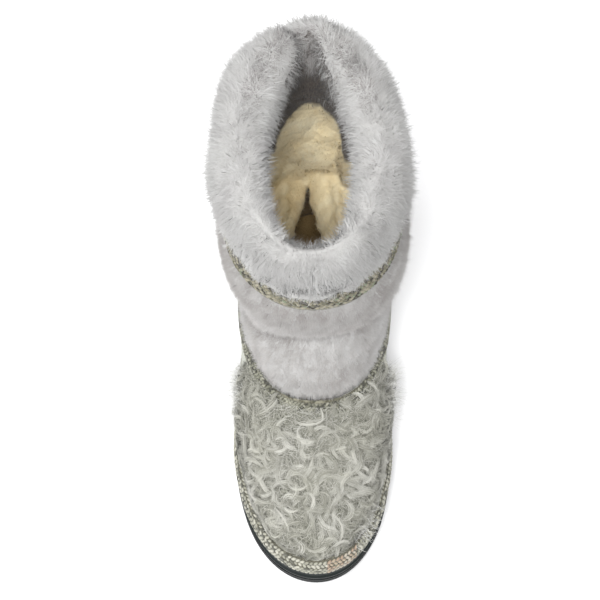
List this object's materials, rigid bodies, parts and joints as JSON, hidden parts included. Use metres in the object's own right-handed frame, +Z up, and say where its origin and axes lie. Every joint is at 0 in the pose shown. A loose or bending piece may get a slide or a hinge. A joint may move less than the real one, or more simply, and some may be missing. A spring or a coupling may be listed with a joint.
{
  "type": "mukluk boot",
  "caption": "Right mukluk boot with a curly fur vamp over a knitted foot, a slouching plush leg, a turned-down fur cuff, knitted bands and a low rubber sole.",
  "frame": {"origin": "on the floor, under the middle of the boot's bounding box", "axes": "+X towards the inner side of the foot, -Y towards the toe, +Z up"},
  "size_m": [0.1248, 0.2794, 0.273],
  "materials": {
    "sole_rubber": "matt black rubber, lightly moulded",
    "bumper_rubber": "satin dark green-black rubber",
    "cream_fleece": "deep cream fleece",
    "tweed_knit": "olive-grey tweed knit",
    "dark_felt": "dark speckled felt",
    "braided_knit": "olive-grey ribbed knit",
    "cuff_knit": "speckled olive-brown knit",
    "curly_fur": "long curly off-white fur",
    "grey_plush": "pale grey plush with a lilac tint",
    "pale_fur": "soft pale grey fur"
  },
  "bodies": {
    "root": {"outsole": "sole_rubber", "insole": "cream_fleece", "upper": "tweed_knit", "rand": "dark_felt", "toe_bumper": "bumper_rubber", "welt_knit": "braided_knit", "ankle_knit": "braided_knit", "vamp_pelt": "curly_fur", "leg": "grey_plush", "cuff_knit": "cuff_knit", "cuff": "pale_fur"}
  },
  "joints": []
}
